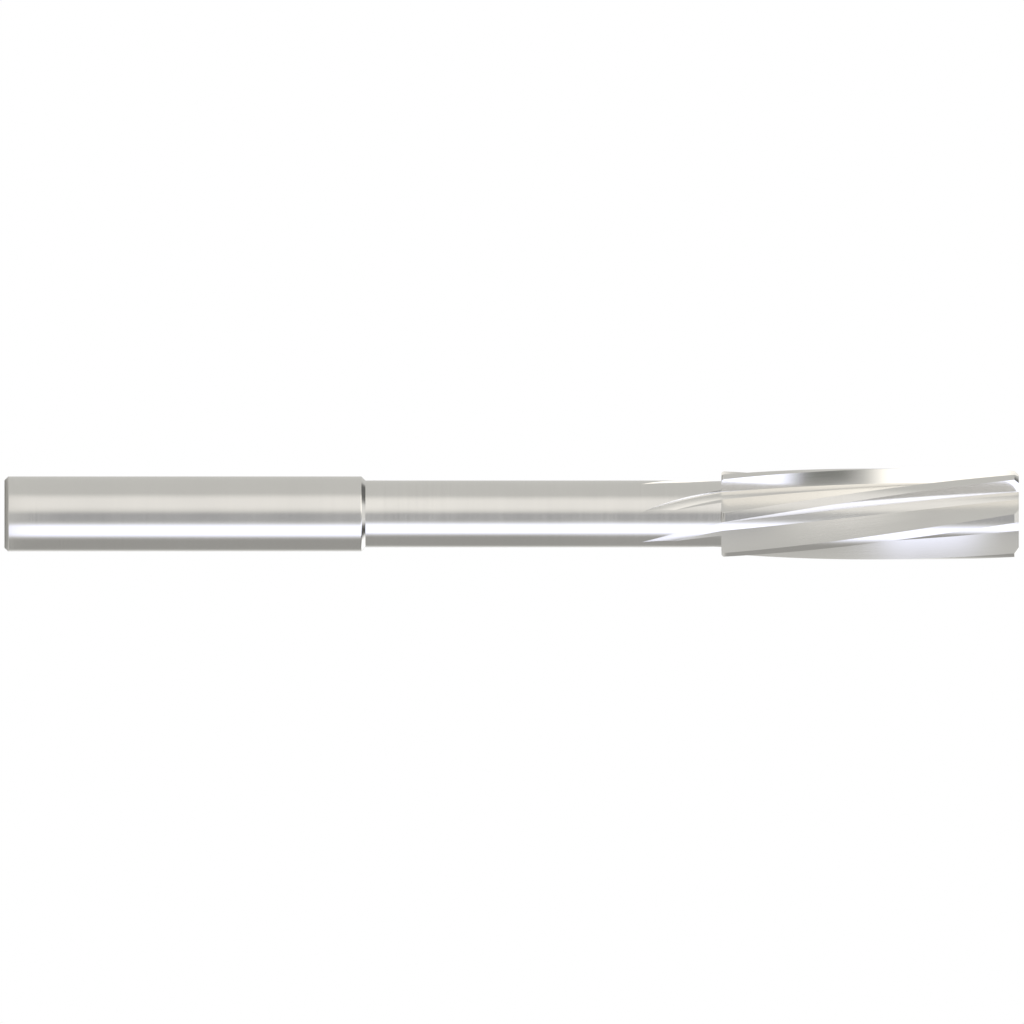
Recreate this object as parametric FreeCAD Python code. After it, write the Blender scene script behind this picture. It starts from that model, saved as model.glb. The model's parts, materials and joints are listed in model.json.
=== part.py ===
"""Machine reamer: a straight shank, a slim neck and a head with left-hand helical flutes.

The tool stands on the flat end of its shank.  The origin is the centre of that face,
+Z runs along the axis to the cutting end, and one cutting edge starts on +X at the tip.
All sizes are millimetres and degrees.
"""
import FreeCAD
import Part

import math
import os

# ---- driving dimensions ---------------------------------------------------------------
OVERALL_LENGTH = 162.0
SHANK_DIAMETER = 12.0
SHANK_LENGTH = 57.0
SHANK_END_CHAMFER = 0.6
NECK_DIAMETER = 10.7
CUTTING_DIAMETER = 14.5
CUTTING_LENGTH = 47.5
LEAD_CHAMFER = 0.7
HEAD_BACK_RADIUS = 0.5

# Flutes, looked at across the axis.  Angles are measured from a cutting edge, over its
# land and down its back, towards the next cutting edge.  The floor follows the core.
FLUTE_COUNT = 6
HELIX_LEAD = 283.0
CORE_DIAMETER = 10.0
LAND_ANGLE = 11.0
ROOT_ANGLE = 38.0
FACE_LEAN_ANGLE = 5.0

# Run-out of each flute on the neck: the cut swings towards the land while it lifts.
RUNOUT_LENGTH = 12.7
RUNOUT_SWING_ANGLE = 77.0
RUNOUT_CURVE = 0.45
RUNOUT_STATIONS = 7

# Centre holes in both ends.
CENTRE_PILOT_DIAMETER = 2.5
CENTRE_CONE_DIAMETER = 5.3
CENTRE_DEPTH = 5.5
CENTRE_CONE_ANGLE = 60.0
CENTRE_DRILL_POINT_ANGLE = 118.0

# How far the flute cutter reaches past what it cuts.
CUTTER_OVERSIZE = 1.25
CUTTER_END_OVERRUN = 1.0
RUNOUT_OVERRUN = 0.2


def vector_at(radius, angle, z=0.0):
    """Point at a radius and an angle in degrees about the tool's axis."""
    turn = math.radians(angle)
    return FreeCAD.Vector(radius * math.cos(turn), radius * math.sin(turn), z)


def turned_about_axis(shape, angle):
    """Turn a shape in place about the tool's axis, by an angle in degrees."""
    shape.rotate(FreeCAD.Vector(0, 0, 0), FreeCAD.Vector(0, 0, 1), angle)
    return shape


def revolved(wire):
    """Solid of revolution from a closed wire in the XZ plane."""
    return Part.Face(wire).revolve(FreeCAD.Vector(0, 0, 0), FreeCAD.Vector(0, 0, 1), 360)


def profile(points):
    """Points in the XZ plane from (radius, z) pairs."""
    return [FreeCAD.Vector(radius, 0, z) for radius, z in points]


def blank():
    """Turned and ground blank: shank, neck and head, before fluting."""
    shank = SHANK_DIAMETER / 2
    neck = NECK_DIAMETER / 2
    head = CUTTING_DIAMETER / 2
    shoulder_z = OVERALL_LENGTH - CUTTING_LENGTH
    neck_z = SHANK_LENGTH + shank - neck
    lower = profile([
        (0, 0),
        (shank - SHANK_END_CHAMFER, 0),
        (shank, SHANK_END_CHAMFER),
        (shank, SHANK_LENGTH),
        (neck, neck_z),
        (neck, shoulder_z),
        (head - HEAD_BACK_RADIUS, shoulder_z),
    ])
    upper = profile([
        (head, shoulder_z + HEAD_BACK_RADIUS),
        (head, OVERALL_LENGTH - LEAD_CHAMFER),
        (head - LEAD_CHAMFER, OVERALL_LENGTH),
        (0, OVERALL_LENGTH),
        (0, 0),
    ])
    inset = HEAD_BACK_RADIUS * (1 - math.cos(math.radians(45)))
    middle = FreeCAD.Vector(head - inset, 0, shoulder_z + inset)
    corner = Part.Arc(lower[-1], middle, upper[0]).toShape()
    edges = Part.makePolygon(lower).Edges + [corner] + Part.makePolygon(upper).Edges
    return revolved(Part.Wire(edges))


def flute_corners():
    """The four corners of one flute: heel, root, foot of the cutting face, next edge."""
    pitch = 360.0 / FLUTE_COUNT
    head = CUTTING_DIAMETER / 2
    core = CORE_DIAMETER / 2
    heel = vector_at(head, -LAND_ANGLE)
    root = vector_at(core, -ROOT_ANGLE)
    foot = vector_at(core, FACE_LEAN_ANGLE - pitch)
    edge = vector_at(head, -pitch)
    return heel, root, foot, edge


def beyond(start, through, radius):
    """Where the line from start through a second point reaches a radius from the axis."""
    along = through.sub(start).normalize()
    middle = start.dot(along)
    reach = math.sqrt(max(0.0, middle ** 2 + radius ** 2 - start.dot(start))) - middle
    return start + along * reach


def cutter_section(lift, turn, z):
    """Section of the flute cutter, moved out by a vector, turned and set at a height."""
    heel, root, foot, edge = flute_corners()
    outside = CUTTER_OVERSIZE * CUTTING_DIAMETER / 2
    back = beyond(root, heel, outside)
    face = beyond(foot, edge, outside)
    middle_angle = (FACE_LEAN_ANGLE - 360.0 / FLUTE_COUNT - ROOT_ANGLE) / 2
    floor = Part.Arc(root, vector_at(CORE_DIAMETER / 2, middle_angle), foot).toShape()
    sides = Part.makePolygon([foot, face, back, root]).Edges
    section = Part.Wire([floor] + sides)
    section.translate(lift)
    turned_about_axis(section, turn)
    section.translate(FreeCAD.Vector(0, 0, z))
    return section


def helix_turn(z):
    """Angle of the left-hand helix at a height: zero at the tip, growing downwards."""
    return 360.0 * (OVERALL_LENGTH - z) / HELIX_LEAD


def helical_cutter():
    """Cutter swept along the left-hand helix, from the shoulder out past the tip."""
    shoulder_z = OVERALL_LENGTH - CUTTING_LENGTH
    height = CUTTING_LENGTH + CUTTER_END_OVERRUN
    helix = Part.makeHelix(HELIX_LEAD, height, CUTTING_DIAMETER / 2, 0, True)
    helix.translate(FreeCAD.Vector(0, 0, shoulder_z))
    section = cutter_section(FreeCAD.Vector(0, 0, 0), helix_turn(shoulder_z), shoulder_z)
    return Part.Wire(helix.Edges).makePipeShell([section], True, True)


def runout_lift(share):
    """How far the cutter has moved out at a share of the run-out's length.

    At the full length the foot of the cutting face, which stays deepest, leaves the neck.
    """
    foot = flute_corners()[2]
    away = vector_at(1.0, RUNOUT_SWING_ANGLE - ROOT_ANGLE)
    full = beyond(foot, foot + away, NECK_DIAMETER / 2).sub(foot)
    return full * ((1 - RUNOUT_CURVE) * share + RUNOUT_CURVE * share ** 2)


def runout_cutter():
    """Cutter lofted from the shoulder back along the neck until it is clear of it."""
    shoulder_z = OVERALL_LENGTH - CUTTING_LENGTH
    sections = []
    for station in range(RUNOUT_STATIONS):
        share = (1 + RUNOUT_OVERRUN) * station / (RUNOUT_STATIONS - 1)
        z = shoulder_z - share * RUNOUT_LENGTH
        sections.append(cutter_section(runout_lift(share), helix_turn(z), z))
    return Part.makeLoft(sections, True, False)


def centre_hole(z, direction):
    """Centre hole to be cut into an end face: a pilot bore with a conical mouth."""
    pilot = CENTRE_PILOT_DIAMETER / 2
    mouth = CENTRE_CONE_DIAMETER / 2
    cone_depth = (mouth - pilot) / math.tan(math.radians(CENTRE_CONE_ANGLE / 2))
    drill_tip = pilot / math.tan(math.radians(CENTRE_DRILL_POINT_ANGLE / 2))
    depths = [
        (0, 0),
        (mouth, 0),
        (pilot, cone_depth),
        (pilot, CENTRE_DEPTH),
        (0, CENTRE_DEPTH + drill_tip),
        (0, 0),
    ]
    corners = profile([(radius, z + direction * depth) for radius, depth in depths])
    return revolved(Part.makePolygon(corners))


def reamer():
    """The finished tool as one solid."""
    flute_cutters = [helical_cutter(), runout_cutter()]
    cutters = [centre_hole(0.0, 1.0), centre_hole(OVERALL_LENGTH, -1.0)]
    for flute in range(FLUTE_COUNT):
        angle = 360.0 * flute / FLUTE_COUNT
        cutters += [turned_about_axis(cutter.copy(), angle) for cutter in flute_cutters]
    body = blank()
    for cutter in cutters:
        body = body.cut(cutter)
    return body


def main():
    """Build the tool and write its file."""
    os.makedirs("parts", exist_ok=True)
    tool = reamer()
    print("valid", tool.isValid(), "solids", len(tool.Solids), "volume", round(tool.Volume, 2))
    tool.exportStep("parts/reamer.step")


main()
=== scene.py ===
"""A machine reamer in ground high-speed steel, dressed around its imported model.

The tool stands on the end of its shank with +Z along its axis.  Its visible body is one
mesh of rings, worked out from the same flute section as the solid, in fine enough steps
for clean reflections.  Every finish is procedural.
"""
from __future__ import annotations

import cmath
import json
import logging
import math
from dataclasses import dataclass
from enum import Enum
from functools import cached_property

import bpy
from mathutils import Matrix, Vector

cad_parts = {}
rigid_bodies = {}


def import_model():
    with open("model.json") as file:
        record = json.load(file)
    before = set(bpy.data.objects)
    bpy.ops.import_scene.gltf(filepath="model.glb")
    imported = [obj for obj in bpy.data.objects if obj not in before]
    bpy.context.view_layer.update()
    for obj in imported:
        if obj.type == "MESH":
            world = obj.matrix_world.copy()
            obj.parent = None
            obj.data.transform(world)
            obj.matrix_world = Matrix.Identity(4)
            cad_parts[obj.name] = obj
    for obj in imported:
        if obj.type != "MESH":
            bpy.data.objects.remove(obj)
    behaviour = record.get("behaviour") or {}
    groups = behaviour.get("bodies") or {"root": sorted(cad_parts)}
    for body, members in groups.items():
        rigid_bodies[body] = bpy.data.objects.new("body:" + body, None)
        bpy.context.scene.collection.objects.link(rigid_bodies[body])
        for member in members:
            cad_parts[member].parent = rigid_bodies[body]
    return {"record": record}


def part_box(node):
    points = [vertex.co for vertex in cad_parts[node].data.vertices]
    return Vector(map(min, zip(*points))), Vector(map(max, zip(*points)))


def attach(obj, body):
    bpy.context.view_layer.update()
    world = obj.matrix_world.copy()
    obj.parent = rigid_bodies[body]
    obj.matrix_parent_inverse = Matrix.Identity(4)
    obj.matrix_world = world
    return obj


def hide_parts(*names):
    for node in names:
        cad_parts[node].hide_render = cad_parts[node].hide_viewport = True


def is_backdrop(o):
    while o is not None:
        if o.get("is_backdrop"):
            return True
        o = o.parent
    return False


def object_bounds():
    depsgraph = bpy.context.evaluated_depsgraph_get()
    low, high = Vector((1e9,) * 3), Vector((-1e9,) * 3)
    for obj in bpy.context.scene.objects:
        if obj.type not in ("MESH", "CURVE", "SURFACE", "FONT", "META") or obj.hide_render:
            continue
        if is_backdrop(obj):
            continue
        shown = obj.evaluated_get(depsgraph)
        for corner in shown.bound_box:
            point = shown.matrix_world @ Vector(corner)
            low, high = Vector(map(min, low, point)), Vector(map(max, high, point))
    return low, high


LOG = logging.getLogger("reamer")
MILLIMETRE = 0.001
HALVINGS = 40


class Marks(Enum):
    """Which way a machining process leaves its fine marks."""

    AROUND = "around the axis"
    ALONG = "along the flutes"
    RINGS = "rings about the axis on a flat end"


@dataclass(frozen=True)
class SteelFinish:
    """One machined finish of the tool's steel.

    Args:
        name: plain name of the finish, used for its material.
        colour: reflected colour of the bare steel.
        roughness: roughness between the marks.
        roughness_spread: how far the marks raise and lower the roughness.
        marks: which way the fine marks run.
        mark_width: spacing of the finest marks, in metres.
        mark_depth: depth of the marks for the bump, in metres.
        tone_spread: how far the steel's tone wanders over the surface.
    """

    name: str
    colour: tuple[float, float, float]
    roughness: float
    roughness_spread: float
    marks: Marks
    mark_width: float
    mark_depth: float
    tone_spread: float


STEEL = (0.72, 0.71, 0.69)
SHANK_FINISH = SteelFinish("ground_shank", STEEL, 0.16, 0.03, Marks.AROUND, 0.00012, 2.0e-7, 0.02)
NECK_FINISH = SteelFinish("turned_neck", STEEL, 0.18, 0.04, Marks.AROUND, 0.00016, 3.0e-7, 0.03)
LAND_FINISH = SteelFinish("ground_land", STEEL, 0.15, 0.03, Marks.AROUND, 0.00010, 1.5e-7, 0.02)
FLUTE_FINISH = SteelFinish("ground_flute", STEEL, 0.24, 0.05, Marks.ALONG, 0.00012, 4.0e-7, 0.03)
FACE_FINISH = SteelFinish("ground_face", STEEL, 0.15, 0.03, Marks.ALONG, 0.00010, 2.0e-7, 0.02)
CHAMFER_FINISH = SteelFinish("turned_chamfer", STEEL, 0.18, 0.03, Marks.AROUND, 0.00014, 3e-7, 0.02)
END_FINISH = SteelFinish("faced_end", STEEL, 0.22, 0.05, Marks.RINGS, 0.00015, 4.0e-7, 0.03)
FINISHES = (
    SHANK_FINISH,
    NECK_FINISH,
    LAND_FINISH,
    FLUTE_FINISH,
    FACE_FINISH,
    CHAMFER_FINISH,
    END_FINISH,
)


@dataclass(frozen=True)
class ToolSizes:
    """Sizes of the turned blank, in metres, the outer ones read from the frame."""

    length: float
    head_radius: float
    shank_radius: float
    shank_length: float
    shank_chamfer: float
    neck_radius: float = 5.35 * MILLIMETRE
    cutting_length: float = 47.5 * MILLIMETRE
    lead_chamfer: float = 0.7 * MILLIMETRE
    back_corner: float = 0.5 * MILLIMETRE
    centre_pilot_radius: float = 1.25 * MILLIMETRE
    centre_mouth_radius: float = 2.65 * MILLIMETRE
    centre_depth: float = 5.5 * MILLIMETRE
    centre_cone_angle: float = math.radians(60)
    drill_point_angle: float = math.radians(118)

    @classmethod
    def from_frame(cls, record: dict) -> "ToolSizes":
        """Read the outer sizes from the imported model.

        Args:
            record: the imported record.

        Returns:
            The sizes of the blank.
        """
        low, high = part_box("reamer")
        shank = next(mount for mount in record["mounts"] if mount["name"] == "shank")
        half = shank["dims"]["length_mm"] * MILLIMETRE / 2
        middle = shank["pos_m"][2]
        return cls(
            length=high.z - low.z,
            head_radius=high.x,
            shank_radius=shank["dims"]["r_mm"] * MILLIMETRE,
            shank_length=middle + half,
            shank_chamfer=middle - half,
        )

    @property
    def shoulder(self) -> float:
        """Height of the face at the back of the head."""
        return self.length - self.cutting_length


@dataclass(frozen=True)
class Line:
    """A straight part of an outline, on the complex plane."""

    start: complex
    end: complex

    def at(self, share: float) -> complex:
        """Point at a share of the length."""
        return self.start + (self.end - self.start) * share


@dataclass(frozen=True)
class Arc:
    """A round part of an outline, on the complex plane."""

    centre: complex
    start: complex
    sweep: float

    @classmethod
    def between(cls, centre: complex, start: complex, end: complex) -> "Arc":
        """The shorter arc about a centre from a start to an end."""
        return cls(centre, start, cmath.phase((end - centre) / (start - centre)))

    def at(self, share: float) -> complex:
        """Point at a share of the length."""
        return self.centre + (self.start - self.centre) * cmath.rect(1.0, self.sweep * share)


@dataclass(frozen=True)
class FluteSection:
    """Cross-section of the flutes, as points on the complex plane, in metres.

    Angles run from a cutting edge over its land and down its back, which is clockwise
    from the cutting end.
    """

    sizes: ToolSizes
    count: int = 6
    lead: float = 283.0 * MILLIMETRE
    land_angle: float = math.radians(11)
    root_angle: float = math.radians(38)
    core_radius: float = 5.0 * MILLIMETRE
    face_lean: float = math.radians(5)
    runout_length: float = 12.7 * MILLIMETRE
    runout_swing: float = math.radians(77)
    runout_curve: float = 0.45
    land_steps: int = 8
    back_steps: int = 5
    low_steps: int = 3
    floor_steps: int = 8

    @property
    def pitch(self) -> float:
        """Angle from one tooth to the next."""
        return math.tau / self.count

    @property
    def runout_tip(self) -> float:
        """Height where the run-outs end on the neck."""
        return self.sizes.shoulder - self.runout_length

    def turn(self, height: float) -> float:
        """Turn of the left-hand helix at a height, which stops below the run-outs."""
        return math.tau * (self.sizes.length - max(height, self.runout_tip)) / self.lead

    @cached_property
    def parts(self) -> tuple[Line, Arc, Line]:
        """Back, floor and cutting face of a flute, on the way down and up again."""
        heel = cmath.rect(self.sizes.head_radius, -self.land_angle)
        root = cmath.rect(self.core_radius, -self.root_angle)
        foot = cmath.rect(self.core_radius, self.face_lean - self.pitch)
        edge = cmath.rect(self.sizes.head_radius, -self.pitch)
        return Line(heel, root), Arc.between(0j, root, foot), Line(foot, edge)

    def lift(self, height: float) -> complex:
        """How far the cut has swung out of the neck at a height.

        Args:
            height: height on the tool, in metres.

        Returns:
            The move of the section, before the turn of the helix.
        """
        above = self.sizes.shoulder - max(height, self.runout_tip)
        share = max(0.0, above / self.runout_length)
        foot = self.parts[2].start
        away = cmath.rect(1.0, self.runout_swing - self.root_angle)
        full = crossing(foot, foot + away, self.sizes.neck_radius) - foot
        return full * ((1 - self.runout_curve) * share + self.runout_curve * share ** 2)

    def place(self, run: float, move: complex) -> complex:
        """Point of the moved outline.

        Args:
            run: number of whole parts before the point, and its share of its own part.
            move: how far the outline has been moved.

        Returns:
            The point.
        """
        part = min(int(run), len(self.parts) - 1)
        return self.parts[part].at(run - part) + move

    def reach(self, inner: float, outer: float, radius: float, move: complex) -> float:
        """Run at which the moved outline crosses a circle.

        Args:
            inner: run of a point inside the circle.
            outer: run of a point outside it.
            radius: radius of the circle, in metres.
            move: how far the outline has been moved.

        Returns:
            The run of the crossing.
        """
        if abs(self.place(outer, move)) <= radius:
            return outer
        for _ in range(HALVINGS):
            middle = (inner + outer) / 2
            if abs(self.place(middle, move)) < radius:
                inner = middle
            else:
                outer = middle
        return inner

    def ring(self, height: float, outer: float) -> list[complex]:
        """All the points of the section at a height, tooth by tooth.

        Args:
            height: height on the tool, in metres.
            outer: radius of the turned surface there, in metres.

        Returns:
            One closed ring of points, in the order of falling angle.
        """
        move = self.lift(height)
        # A run counts the outline's parts: 0 at the heel, 2 at the foot, 3 at the edge.
        lowest = 2.0
        limits = (0.0, 3.0)
        waist = min(outer, self.sizes.neck_radius)
        enter, leave = (self.place(self.reach(lowest, limit, outer, move), move) for limit in limits)
        low_enter, low_leave = (self.reach(lowest, limit, waist, move) for limit in limits)
        leave *= cmath.rect(1.0, self.pitch)
        if outer > waist:
            foot = self.place(low_leave, move) * cmath.rect(1.0, self.pitch)
            tooth = (
                straight(foot, leave, self.back_steps)
                + arc(leave, enter, self.land_steps)
                + straight(enter, self.place(low_enter, move), self.back_steps)
            )
        else:
            tooth = arc(leave, enter, self.land_steps + 2 * self.back_steps)
        for part, steps in enumerate(self.low_part_steps):
            first, last = (min(max(run, low_enter), low_leave) for run in (part, part + 1))
            tooth += [self.place(first + (last - first) * step / steps, move) for step in range(steps)]
        turn = self.turn(height)
        return [
            point * cmath.rect(1.0, turn - number * self.pitch)
            for number in range(self.count)
            for point in tooth
        ]

    @property
    def low_part_steps(self) -> tuple[int, int, int]:
        """Steps of the back, the floor and the cutting face below the neck's surface."""
        return self.low_steps, self.floor_steps, self.low_steps

    def bands(self, surface: str) -> list[str]:
        """Part of the tooth that each step of one tooth's ring belongs to.

        Args:
            surface: kind of the surface that the ring lies on.

        Returns:
            The parts' names, with "turned" for what no flute has cut.
        """
        low = ["back"] * self.low_steps + ["floor"] * self.floor_steps + ["face"] * self.low_steps
        upper = ["turned"] * (2 * self.back_steps + self.land_steps)
        if surface in ("head", "lead", "corner"):
            upper[:self.back_steps] = ["face"] * self.back_steps
            upper[-self.back_steps:] = ["back"] * self.back_steps
            return upper + low
        if surface in ("step", "runout"):
            return upper + low
        return ["turned"] * len(upper + low)

    def corners(self, surface: str) -> set[int]:
        """Steps of one tooth's ring that start at a sharp corner.

        Args:
            surface: kind of the surface that the ring lies on.

        Returns:
            The corners' numbers.
        """
        edge = self.back_steps
        heel = edge + self.land_steps
        enter = heel + self.back_steps
        root = enter + self.low_steps
        foot = root + self.floor_steps
        return {
            "head": {edge, heel, root, foot},
            "lead": {edge, heel, root, foot},
            "corner": {edge, heel, root, foot},
            "step": {root, foot},
            "runout": {0, enter, root, foot},
        }.get(surface, set())


def dot(first: complex, second: complex) -> float:
    """Scalar product of two points of the plane."""
    return (first.conjugate() * second).real


def crossing(inside: complex, outside: complex, radius: float) -> complex:
    """Where a line from an inner point through an outer one reaches a radius."""
    along = (outside - inside) / abs(outside - inside)
    middle = dot(inside, along)
    reach = math.sqrt(middle ** 2 + radius ** 2 - abs(inside) ** 2) - middle
    return inside + along * reach


def straight(start: complex, end: complex, steps: int) -> list[complex]:
    """Even points from a start up to, but without, an end."""
    return [start + (end - start) * step / steps for step in range(steps)]


def arc(start: complex, end: complex, steps: int) -> list[complex]:
    """Even points on a circle, clockwise from a start up to, but without, an end."""
    sweep = cmath.phase(end / start) % math.tau - math.tau
    return [start * cmath.rect(1.0, sweep * step / steps) for step in range(steps)]


@dataclass(frozen=True)
class Station:
    """One ring of the body: its height, its points and the surface above it."""

    height: float
    points: list[complex]
    surface: str
    crease: bool = False


@dataclass
class ReamerBody:
    """The whole tool as one mesh of rings, from the centre hole at the tip downwards."""

    sizes: ToolSizes
    section: FluteSection
    head_step: float = 0.4 * MILLIMETRE
    runout_step: float = 0.2 * MILLIMETRE
    plain_step: float = 3.0 * MILLIMETRE
    corner_steps: int = 6
    edge_ease: float = 0.06 * MILLIMETRE

    def stations(self) -> list[Station]:
        """All rings from the tip's centre hole to the shank's centre hole."""
        upper = self.tip_stations() + self.head_stations()
        return upper + self.neck_stations() + self.shank_stations()

    def hole(self, mouth: float, inward: float, like: list[complex]) -> list[Station]:
        """Rings of a centre hole, from its mouth inwards.

        Args:
            mouth: height of the end face, in metres.
            inward: 1 if the hole goes upwards, or -1 if it goes downwards.
            like: ring whose angles the hole's rings follow.

        Returns:
            The rings of the mouth, the pilot bore and the drill point.
        """
        sizes = self.sizes
        narrowing = sizes.centre_mouth_radius - sizes.centre_pilot_radius
        cone = narrowing / math.tan(sizes.centre_cone_angle / 2)
        point = sizes.centre_pilot_radius / math.tan(sizes.drill_point_angle / 2)
        outline = [
            (sizes.centre_mouth_radius, 0.0),
            (sizes.centre_pilot_radius, cone),
            (sizes.centre_pilot_radius, sizes.centre_depth),
            (0.0, sizes.centre_depth + point),
        ]
        return [
            Station(mouth + inward * depth, circle(radius, like), "hole", True)
            for radius, depth in outline
        ]

    def tip_stations(self) -> list[Station]:
        """Rings of the centre hole at the tip and of the lead chamfer."""
        sizes, ring = self.sizes, self.section.ring
        end = ring(sizes.length, sizes.head_radius - sizes.lead_chamfer)
        hole = self.hole(sizes.length, -1.0, end)[::-1]
        face = Station(sizes.length, end, "end", True)
        middle = sizes.length - sizes.lead_chamfer / 2
        chamfer = Station(middle, ring(middle, sizes.head_radius - sizes.lead_chamfer / 2), "lead")
        return hole + [face, chamfer]

    def head_stations(self) -> list[Station]:
        """Rings of the fluted head, down to the face behind it."""
        sizes, ring = self.sizes, self.section.ring
        top = sizes.length - sizes.lead_chamfer
        bottom = sizes.shoulder + sizes.back_corner
        made = [
            Station(height, ring(height, sizes.head_radius), "head")
            for height in even(top, bottom, self.head_step)
        ]
        made[0] = Station(top, made[0].points, "lead", True)
        for step in range(1, self.corner_steps + 1):
            angle = math.pi / 2 * step / self.corner_steps
            height = bottom - sizes.back_corner * math.sin(angle)
            outer = sizes.head_radius - sizes.back_corner * (1 - math.cos(angle))
            made.append(Station(height, ring(height, outer), "corner"))
        return made

    def neck_stations(self) -> list[Station]:
        """Rings of the neck: the run-outs, then the plain length."""
        sizes, ring = self.sizes, self.section.ring
        neck = sizes.neck_radius
        tip = self.section.runout_tip
        runout = even(sizes.shoulder, tip, self.runout_step)
        made = [Station(height, ring(height, neck), "runout") for height in runout]
        made[0] = Station(sizes.shoulder, made[0].points, "step", True)
        plain = even(tip, self.neck_end, self.plain_step)[1:]
        return made + [Station(height, ring(height, neck), "neck") for height in plain]

    @property
    def neck_end(self) -> float:
        """Height where the neck meets the chamfer of the shank."""
        sizes = self.sizes
        return sizes.shank_length + sizes.shank_radius - sizes.neck_radius

    def shank_stations(self) -> list[Station]:
        """Rings of the shank, its chamfers, its end face and its centre hole."""
        sizes = self.sizes
        like = self.section.ring(self.neck_end, sizes.neck_radius)
        upper = eased(
            (sizes.neck_radius, self.neck_end),
            (sizes.shank_radius, sizes.shank_length),
            (sizes.shank_radius, sizes.shank_chamfer),
            self.edge_ease,
        )
        lower = eased(
            (sizes.shank_radius, sizes.shank_length),
            (sizes.shank_radius, sizes.shank_chamfer),
            (sizes.shank_radius - sizes.shank_chamfer, 0.0),
            self.edge_ease,
        )
        made = [Station(self.neck_end, circle(sizes.neck_radius, like), "neck", True)]
        made += [Station(height, circle(radius, like), "chamfer") for radius, height in upper]
        plain = even(upper[-1][1] - self.edge_ease, lower[0][1] + self.edge_ease, self.plain_step)
        made += [Station(height, circle(sizes.shank_radius, like), "shank") for height in plain]
        made += [Station(height, circle(radius, like), "chamfer") for radius, height in lower]
        rim = circle(sizes.shank_radius - sizes.shank_chamfer, like)
        made.append(Station(0.0, rim, "chamfer", True))
        hole = self.hole(0.0, 1.0, like)
        hole[0] = Station(0.0, hole[0].points, "end", True)
        return made + hole

    @staticmethod
    def number_points(stations: list[Station]) -> tuple[list[tuple[float, ...]], list[list[int]]]:
        """Number the points of all rings, with one number where points meet.

        Args:
            stations: the rings, in order.

        Returns:
            The vertices, and a row of vertex numbers for each ring.
        """
        numbers = {}
        rows = []
        for station in stations:
            places = [(point.real, point.imag, station.height) for point in station.points]
            keys = [tuple(round(value, 9) for value in place) for place in places]
            rows.append([numbers.setdefault(key, len(numbers)) for key in keys])
        return list(numbers), rows

    def build(self) -> bpy.types.Object:
        """Make the mesh and the object.

        Returns:
            The body, with a material index and sharp edges on every surface.
        """
        stations = self.stations()
        vertices, rows = self.number_points(stations)
        faces, slots, sharp = [], [], set()
        for station, high, low in zip(stations[1:], rows, rows[1:]):
            tooth = self.section.bands(station.surface)
            corners = self.section.corners(station.surface)
            for column, band in enumerate(tooth * self.section.count):
                after = (column + 1) % len(low)
                face = tuple(dict.fromkeys((high[column], high[after], low[after], low[column])))
                if len(face) > 2:
                    faces.append(face)
                    slots.append(self.slot_of(station.surface, band))
                if column % len(tooth) in corners:
                    sharp.add(frozenset((high[column], low[column])))
                if station.crease and band in ("turned", "land"):
                    sharp.add(frozenset((low[column], low[after])))
        mesh = bpy.data.meshes.new("reamer_body")
        mesh.from_pydata(vertices, [], faces)
        for finish in FINISHES:
            mesh.materials.append(bpy.data.materials[finish.name])
        mesh.polygons.foreach_set("material_index", slots)
        mesh.polygons.foreach_set("use_smooth", [True] * len(faces))
        for edge in mesh.edges:
            edge.use_edge_sharp = frozenset(edge.vertices) in sharp
        return add_object("reamer_body", mesh)

    @staticmethod
    def slot_of(surface: str, band: str) -> int:
        """Material index of a face.

        Args:
            surface: kind of the surface that the ring below the face lies on.
            band: part of the tooth.

        Returns:
            The index of its finish.
        """
        ground = {"back": FLUTE_FINISH, "floor": FLUTE_FINISH, "face": FACE_FINISH}
        turned = {
            "hole": END_FINISH,
            "end": END_FINISH,
            "step": END_FINISH,
            "lead": CHAMFER_FINISH,
            "corner": CHAMFER_FINISH,
            "chamfer": CHAMFER_FINISH,
            "head": LAND_FINISH,
            "runout": NECK_FINISH,
            "neck": NECK_FINISH,
            "shank": SHANK_FINISH,
        }
        return FINISHES.index(ground.get(band) or turned[surface])


def circle(radius: float, like: list[complex]) -> list[complex]:
    """Points at a radius, at the angles of another ring."""
    return [point / abs(point) * radius for point in like]


def even(start: float, end: float, step: float) -> list[float]:
    """Evenly spaced values from a start to an end, at most a step apart."""
    count = max(1, math.ceil(abs(end - start) / step))
    return [start + (end - start) * number / count for number in range(count + 1)]


def eased(
    before: tuple[float, float],
    corner: tuple[float, float],
    after: tuple[float, float],
    ease: float,
    steps: int = 4,
) -> list[tuple[float, float]]:
    """Round one corner of a turned outline.

    Args:
        before: (radius, height) of the point before the corner.
        corner: (radius, height) of the corner.
        after: (radius, height) of the point after it.
        ease: how far from the corner the rounding starts, in metres.
        steps: number of spans in the rounding.

    Returns:
        The points of the rounding.
    """
    tip = Vector(corner)
    first = tip + (Vector(before) - tip).normalized() * ease
    last = tip + (Vector(after) - tip).normalized() * ease
    made = []
    for step in range(steps + 1):
        share = step / steps
        point = first.lerp(tip, share).lerp(tip.lerp(last, share), share)
        made.append((point.x, point.y))
    return made


def add_object(name: str, mesh: bpy.types.Mesh) -> bpy.types.Object:
    """Put a mesh into the scene as an object of its own."""
    made = bpy.data.objects.new(name, mesh)
    bpy.context.scene.collection.objects.link(made)
    return made


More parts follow.
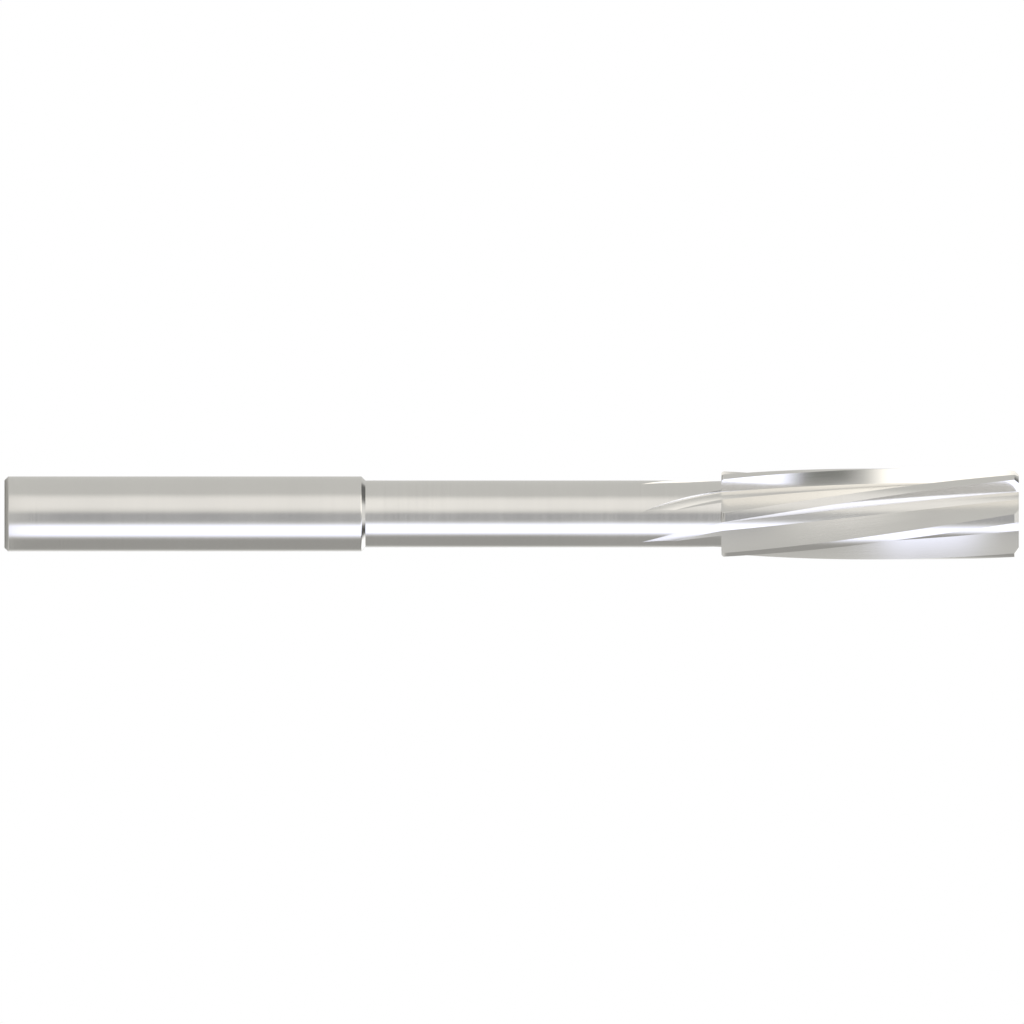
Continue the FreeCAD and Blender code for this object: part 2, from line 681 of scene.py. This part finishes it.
def new_group(name: str, inputs: dict[str, str], outputs: dict[str, str]) -> bpy.types.NodeTree:
    """Start a shader node group with named sockets.

    Args:
        name: name of the group.
        inputs: socket type by input name.
        outputs: socket type by output name.

    Returns:
        The group, with its input and output nodes in place.
    """
    group = bpy.data.node_groups.new(name, "ShaderNodeTree")
    for label, kind in inputs.items():
        group.interface.new_socket(label, in_out="INPUT", socket_type=kind)
    for label, kind in outputs.items():
        group.interface.new_socket(label, in_out="OUTPUT", socket_type=kind)
    group.nodes.new("NodeGroupInput").name = "in"
    group.nodes.new("NodeGroupOutput").name = "out"
    return group


def node(tree: bpy.types.NodeTree, kind: str, **settings: object) -> bpy.types.Node:
    """Add a node and set its properties."""
    made = tree.nodes.new(kind)
    for key, value in settings.items():
        setattr(made, key, value)
    return made


def math_node(
    tree: bpy.types.NodeTree,
    operation: str,
    *values: object,
    clamp: bool = False,
) -> bpy.types.NodeSocket:
    """Add a Math node.

    Args:
        tree: node tree to add to.
        operation: name of the operation.
        values: sockets or numbers for its inputs, in order.
        clamp: whether to keep the result from 0 to 1.

    Returns:
        The node's result.
    """
    made = node(tree, "ShaderNodeMath", operation=operation, use_clamp=clamp)
    for slot, value in zip(made.inputs, values):
        if isinstance(value, bpy.types.NodeSocket):
            tree.links.new(value, slot)
        else:
            slot.default_value = value
    return made.outputs[0]


class MarkGroups:
    """The two shader node groups that all the finishes share."""

    FLOAT = "NodeSocketFloat"
    VECTOR = "NodeSocketVector"
    MARKS_ALONG_THEIR_RUN = 60.0
    TONE_PATCHES = 90.0
    TONE_RANGE = (0.1, 0.4)
    TONE_GAIN = 2.5
    TONE_OFFSET = -0.12

    def __init__(self, lead: float, length: float) -> None:
        """Build the groups.

        Args:
            lead: lead of the flutes' helix, in metres.
            length: height of the tip, in metres.
        """
        self.untwist = self.make_untwist(lead, length)
        self.marks = self.make_marks()

    def make_untwist(self, lead: float, length: float) -> bpy.types.NodeTree:
        """Group that unwinds the helix, so that marks can follow the flutes."""
        group = new_group("unwound_place", {"Place": self.VECTOR}, {"Unwound": self.VECTOR})
        place = group.nodes["in"].outputs["Place"]
        split = node(group, "ShaderNodeSeparateXYZ")
        group.links.new(place, split.inputs[0])
        down = math_node(group, "SUBTRACT", split.outputs["Z"], length)
        angle = math_node(group, "MULTIPLY", down, math.tau / lead)
        rotate = node(group, "ShaderNodeVectorRotate", rotation_type="Z_AXIS")
        group.links.new(place, rotate.inputs["Vector"])
        group.links.new(angle, rotate.inputs["Angle"])
        group.links.new(rotate.outputs[0], group.nodes["out"].inputs["Unwound"])
        return group

    def make_marks(self) -> bpy.types.NodeTree:
        """Group that turns a stretched place into fine machining marks."""
        inputs = {"Place": self.VECTOR, "Stretch": self.VECTOR, "Patch": self.FLOAT}
        outputs = {"Height": self.FLOAT, "Tone": self.FLOAT}
        group = new_group("machining_marks", inputs, outputs)
        source = group.nodes["in"].outputs
        stretched = node(group, "ShaderNodeVectorMath", operation="MULTIPLY")
        group.links.new(source["Place"], stretched.inputs[0])
        group.links.new(source["Stretch"], stretched.inputs[1])
        fine = node(group, "ShaderNodeTexNoise")
        fine.inputs["Scale"].default_value = 1.0
        fine.inputs["Detail"].default_value = 3.0
        fine.inputs["Roughness"].default_value = 0.6
        group.links.new(stretched.outputs[0], fine.inputs["Vector"])
        patch = node(group, "ShaderNodeTexNoise")
        patch.inputs["Detail"].default_value = 2.0
        group.links.new(source["Place"], patch.inputs["Vector"])
        group.links.new(source["Patch"], patch.inputs["Scale"])
        tone = math_node(group, "MULTIPLY", fine.outputs[0], patch.outputs[0])
        group.links.new(fine.outputs[0], group.nodes["out"].inputs["Height"])
        group.links.new(tone, group.nodes["out"].inputs["Tone"])
        return group

    def dress(self, finish: SteelFinish) -> bpy.types.Material:
        """Make the material of one finish.

        Args:
            finish: the finish to make.

        Returns:
            Its material.
        """
        material = bpy.data.materials.new(finish.name)
        material.use_nodes = True
        tree = material.node_tree
        shader = tree.nodes["Principled BSDF"]
        shader.inputs["Metallic"].default_value = 1.0
        place, stretch = self.mark_place(tree, finish)
        marks = node(tree, "ShaderNodeGroup", node_tree=self.marks)
        tree.links.new(place, marks.inputs["Place"])
        marks.inputs["Stretch"].default_value = stretch
        marks.inputs["Patch"].default_value = self.TONE_PATCHES
        bump = node(tree, "ShaderNodeBump")
        bump.inputs["Distance"].default_value = finish.mark_depth
        tree.links.new(marks.outputs["Height"], bump.inputs["Height"])
        tree.links.new(bump.outputs[0], shader.inputs["Normal"])
        self.spread(tree, marks.outputs["Tone"], finish)
        return material

    def mark_place(
        self,
        tree: bpy.types.NodeTree,
        finish: SteelFinish,
    ) -> tuple[bpy.types.NodeSocket, tuple[float, float, float]]:
        """Place on the tool, laid out so that the marks run the finish's way.

        Args:
            tree: the material's node tree.
            finish: the finish to follow.

        Returns:
            The place, and how many marks it has to a metre in each direction.
        """
        place = node(tree, "ShaderNodeTexCoord").outputs["Object"]
        fine = 1.0 / finish.mark_width
        coarse = self.MARKS_ALONG_THEIR_RUN
        if finish.marks is Marks.ALONG:
            untwist = node(tree, "ShaderNodeGroup", node_tree=self.untwist)
            tree.links.new(place, untwist.inputs["Place"])
            return untwist.outputs["Unwound"], (fine, fine, coarse)
        if finish.marks is Marks.RINGS:
            length = node(tree, "ShaderNodeVectorMath", operation="LENGTH")
            tree.links.new(place, length.inputs[0])
            combine = node(tree, "ShaderNodeCombineXYZ")
            tree.links.new(length.outputs["Value"], combine.inputs["Z"])
            place = combine.outputs[0]
        return place, (coarse, coarse, fine)

    def spread(
        self,
        tree: bpy.types.NodeTree,
        tone: bpy.types.NodeSocket,
        finish: SteelFinish,
    ) -> None:
        """Let the tone vary the roughness and the colour.

        Args:
            tree: the material's node tree.
            tone: value that wanders about a quarter.
            finish: the finish to follow.
        """
        shader = tree.nodes["Principled BSDF"]
        rough = node(tree, "ShaderNodeMapRange")
        rough.inputs["From Min"].default_value = self.TONE_RANGE[0]
        rough.inputs["From Max"].default_value = self.TONE_RANGE[1]
        rough.inputs["To Min"].default_value = finish.roughness - finish.roughness_spread
        rough.inputs["To Max"].default_value = finish.roughness + finish.roughness_spread
        tree.links.new(tone, rough.inputs["Value"])
        tree.links.new(rough.outputs[0], shader.inputs["Roughness"])
        blend = node(tree, "ShaderNodeMix", data_type="RGBA")
        dark = [channel * (1 - finish.tone_spread) for channel in finish.colour]
        light = [channel * (1 + finish.tone_spread) for channel in finish.colour]
        blend.inputs["A"].default_value = (*dark, 1.0)
        blend.inputs["B"].default_value = (*light, 1.0)
        share = math_node(tree, "MULTIPLY_ADD", tone, self.TONE_GAIN, self.TONE_OFFSET, clamp=True)
        tree.links.new(share, blend.inputs["Factor"])
        tree.links.new(blend.outputs["Result"], shader.inputs["Base Color"])


@dataclass(frozen=True)
class Panel:
    """One soft panel of the studio, by its bearing from the camera and its elevation.

    Args:
        name: what the panel stands for.
        bearing: middle of the panel, in degrees from the camera, towards its upper side.
        half_width: half its width, in degrees.
        side_fade: how softly its sides end, in degrees.
        low: elevation of its lower end, in degrees.
        high: elevation of its upper end, in degrees.
        end_fade: how softly its ends fade, in degrees.
        colour: colour and level of its light.
    """

    name: str
    bearing: float
    half_width: float
    side_fade: float
    low: float
    high: float
    end_fade: float
    colour: tuple[float, float, float]


# Each panel stands before the ones above it.
PANELS = (
    Panel("room", 14, 170, 8, -95, 95, 4, (0.69, 0.685, 0.66)),
    Panel("dark wall", -112, 32, 18, 0.4, 74, 16, (0.08, 0.08, 0.075)),
    Panel("white reflector", -150, 25, 12, 16, 57, 10, (1.5, 1.5, 1.5)),
    Panel("far wall", 125, 30, 16, 34, 72, 10, (0.15, 0.15, 0.145)),
    Panel("warm diffuser", 34, 20, 24, -4, 95, 16, (1.02, 1.0, 0.975)),
    Panel("warm lamp", 32.5, 29, 14, 3.5, 95, 8, (1.75, 1.7, 1.6)),
    Panel("camera stand", -10, 14, 18, -6, 3, 5, (0.41, 0.415, 0.43)),
    Panel("gap over the stand", -14, 10, 10, 4, 11, 4, (0.9, 0.9, 0.88)),
    Panel("light in the gap", -10.5, 3, 3, 6, 9.5, 2, (2.2, 2.2, 2.25)),
    Panel("camera", -19, 13, 12, 12, 95, 6, (0.25, 0.255, 0.24)),
    Panel("cool lamp", -53, 19.5, 16, -6, 95, 28, (1.7, 1.76, 2.15)),
    Panel("cool lamp's core", -50, 18, 14, 4, 11, 5, (2.6, 2.65, 2.9)),
    Panel("cool lamp's head", -41, 14, 8, 20.5, 35, 4, (2.6, 2.65, 2.8)),
    Panel("ceiling", 0, 200, 10, 74, 120, 8, (0.95, 0.94, 0.92)),
    Panel("bench front", 15, 28, 26, -95, -21, 6, (0.32, 0.32, 0.31)),
    Panel("lit bench", 90, 24, 22, -95, -21, 6, (1.1, 1.1, 1.07)),
    Panel("bench back", 170, 30, 28, -95, -21, 6, (0.38, 0.38, 0.37)),
    Panel("bench lamp", -75, 22, 20, -95, -21, 6, (1.3, 1.32, 1.4)),
)


@dataclass
class Studio:
    """Camera, pale floor and the soft studio that the steel reflects."""

    sizes: ToolSizes
    camera_azimuth: float = math.radians(289.7)
    camera_distance: float = 0.6
    frame_share: float = 1.0095
    frame_shift_up: float = 0.318 * MILLIMETRE
    frame_shift_along: float = 0.06 * MILLIMETRE
    floor_radius: float = 90 * MILLIMETRE
    floor_gap: float = 0.02 * MILLIMETRE
    floor_colour: tuple[float, float, float] = (0.97, 0.97, 0.97)
    floor_reflection: tuple[float, float, float] = (0.70, 0.695, 0.67)
    backdrop: tuple[float, float, float] = (1.0, 1.0, 1.0)
    floor_sides: int = 96
    panels: tuple[Panel, ...] = PANELS

    def add_camera(self) -> None:
        """Place the camera level with the tool, with the tool lying across its view."""
        data = bpy.data.cameras.new("camera")
        data.type = "ORTHO"
        data.ortho_scale = self.sizes.length * self.frame_share
        data.clip_start = 0.01
        data.clip_end = 10.0
        camera = bpy.data.objects.new("camera", data)
        back = Vector((math.cos(self.camera_azimuth), math.sin(self.camera_azimuth), 0))
        along = Vector((0, 0, 1))
        up = back.cross(along)
        middle = along * (self.sizes.length / 2 + self.frame_shift_along) + up * self.frame_shift_up
        camera.matrix_world = Matrix.Translation(middle + back * self.camera_distance) @ Matrix(
            (along, up, back)
        ).transposed().to_4x4()
        bpy.context.scene.collection.objects.link(camera)
        bpy.context.scene.camera = camera

    def add_floor(self) -> None:
        """Lay a round pale floor under the tool."""
        step = math.tau / self.floor_sides
        rim = [cmath.rect(self.floor_radius, step * side) for side in range(self.floor_sides)]
        mesh = bpy.data.meshes.new("floor")
        mesh.from_pydata([(point.real, point.imag, 0.0) for point in rim], [], [range(len(rim))])
        floor = add_object("floor", mesh)
        floor.location.z = -self.floor_gap
        material = bpy.data.materials.new("pale_floor")
        material.use_nodes = True
        tree = material.node_tree
        shader = tree.nodes["Principled BSDF"]
        path = node(tree, "ShaderNodeLightPath").outputs
        tone = node(tree, "ShaderNodeMix", data_type="RGBA")
        tree.links.new(path["Is Glossy Ray"], tone.inputs["Factor"])
        tone.inputs["A"].default_value = (*self.floor_colour, 1.0)
        tone.inputs["B"].default_value = (*self.floor_reflection, 1.0)
        tree.links.new(tone.outputs["Result"], shader.inputs["Base Color"])
        shader.inputs["Roughness"].default_value = 0.9
        shader.inputs["Specular IOR Level"].default_value = 0.0
        mesh.materials.append(material)
        floor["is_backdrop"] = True

    def panel_group(self) -> bpy.types.NodeTree:
        """Group that masks one soft panel by the bearing and elevation of a ray."""
        names = ("Azimuth", "Elevation", "Middle", "Half Width", "Side Fade", "Low", "High", "End Fade")
        inputs = {name: MarkGroups.FLOAT for name in names}
        group = new_group("soft_panel", inputs, {"Mask": MarkGroups.FLOAT})
        source = group.nodes["in"].outputs
        away = math_node(group, "SUBTRACT", source["Azimuth"], source["Middle"])
        wrapped = math_node(group, "WRAP", away, math.pi, -math.pi)
        side = math_node(group, "ABSOLUTE", wrapped)
        inside = math_node(group, "SUBTRACT", source["Half Width"], side)
        across = self.fade(group, inside, source["Side Fade"])
        above = math_node(group, "SUBTRACT", source["Elevation"], source["Low"])
        below = math_node(group, "SUBTRACT", source["High"], source["Elevation"])
        rise = self.fade(group, above, source["End Fade"])
        fall = self.fade(group, below, source["End Fade"])
        mask = math_node(group, "MULTIPLY", math_node(group, "MULTIPLY", across, rise), fall)
        group.links.new(mask, group.nodes["out"].inputs["Mask"])
        return group

    @staticmethod
    def fade(
        tree: bpy.types.NodeTree,
        distance: bpy.types.NodeSocket,
        width: bpy.types.NodeSocket,
    ) -> bpy.types.NodeSocket:
        """Smooth step from 0 to 1 over a width centred on zero distance."""
        made = node(tree, "ShaderNodeMapRange", interpolation_type="SMOOTHSTEP")
        half = math_node(tree, "MULTIPLY", width, 0.5)
        tree.links.new(distance, made.inputs["Value"])
        tree.links.new(math_node(tree, "MULTIPLY", half, -1.0), made.inputs["From Min"])
        tree.links.new(half, made.inputs["From Max"])
        return made.outputs[0]

    def light(self) -> None:
        """Build the world: one white backdrop for every ray, and panels before it.

        Only glossy rays meet the panels, so the steel shows them and, between them, the
        same white backdrop that stands behind the tool.
        """
        world = bpy.data.worlds.new("studio")
        world.use_nodes = True
        bpy.context.scene.world = world
        tree = world.node_tree
        tree.nodes.clear()
        direction = node(tree, "ShaderNodeTexCoord").outputs["Generated"]
        split = node(tree, "ShaderNodeSeparateXYZ")
        tree.links.new(direction, split.inputs[0])
        azimuth = math_node(tree, "ARCTAN2", split.outputs["Y"], split.outputs["X"])
        elevation = math_node(tree, "ARCSINE", split.outputs["Z"])
        group = self.panel_group()
        path = node(tree, "ShaderNodeLightPath").outputs
        colour = node(tree, "ShaderNodeRGB").outputs[0]
        colour.default_value = (*self.backdrop, 1.0)
        for panel in self.panels:
            mask = node(tree, "ShaderNodeGroup", node_tree=group, label=panel.name)
            tree.links.new(azimuth, mask.inputs["Azimuth"])
            tree.links.new(elevation, mask.inputs["Elevation"])
            mask.inputs["Middle"].default_value = self.camera_azimuth - math.radians(panel.bearing)
            mask.inputs["Half Width"].default_value = math.radians(panel.half_width)
            mask.inputs["Side Fade"].default_value = math.radians(panel.side_fade)
            mask.inputs["Low"].default_value = math.radians(panel.low)
            mask.inputs["High"].default_value = math.radians(panel.high)
            mask.inputs["End Fade"].default_value = math.radians(panel.end_fade)
            reflected = math_node(tree, "MULTIPLY", mask.outputs["Mask"], path["Is Glossy Ray"])
            blend = node(tree, "ShaderNodeMix", data_type="RGBA")
            tree.links.new(reflected, blend.inputs["Factor"])
            tree.links.new(colour, blend.inputs["A"])
            blend.inputs["B"].default_value = (*panel.colour, 1.0)
            colour = blend.outputs["Result"]
        light = node(tree, "ShaderNodeBackground")
        tree.links.new(colour, light.inputs["Color"])
        out = node(tree, "ShaderNodeOutputWorld")
        tree.links.new(light.outputs[0], out.inputs["Surface"])


def plain(box: tuple[Vector, Vector]) -> list[list[float]]:
    """A box's corners as plain lists of numbers."""
    return [[float(value) for value in corner] for corner in box]


def main() -> None:
    """Load the frame, dress the tool and set up the studio."""
    logging.basicConfig(level=logging.INFO, format="%(name)s: %(message)s")
    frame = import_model()
    cad_box = plain(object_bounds())
    bpy.context.scene.view_settings.view_transform = "Standard"

    sizes = ToolSizes.from_frame(frame["record"])
    section = FluteSection(sizes)
    groups = MarkGroups(section.lead, sizes.length)
    for finish in FINISHES:
        groups.dress(finish)

    body = ReamerBody(sizes, section).build()
    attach(body, "root")
    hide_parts("reamer")
    LOG.info("reamer_body: %d faces", len(body.data.polygons))

    studio = Studio(sizes)
    studio.add_camera()
    studio.add_floor()
    studio.light()
    LOG.info("studio: %d panels", len(studio.panels))

    {"cad": cad_box, "visual": plain(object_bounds())}


if __name__ == "__main__":
    main()
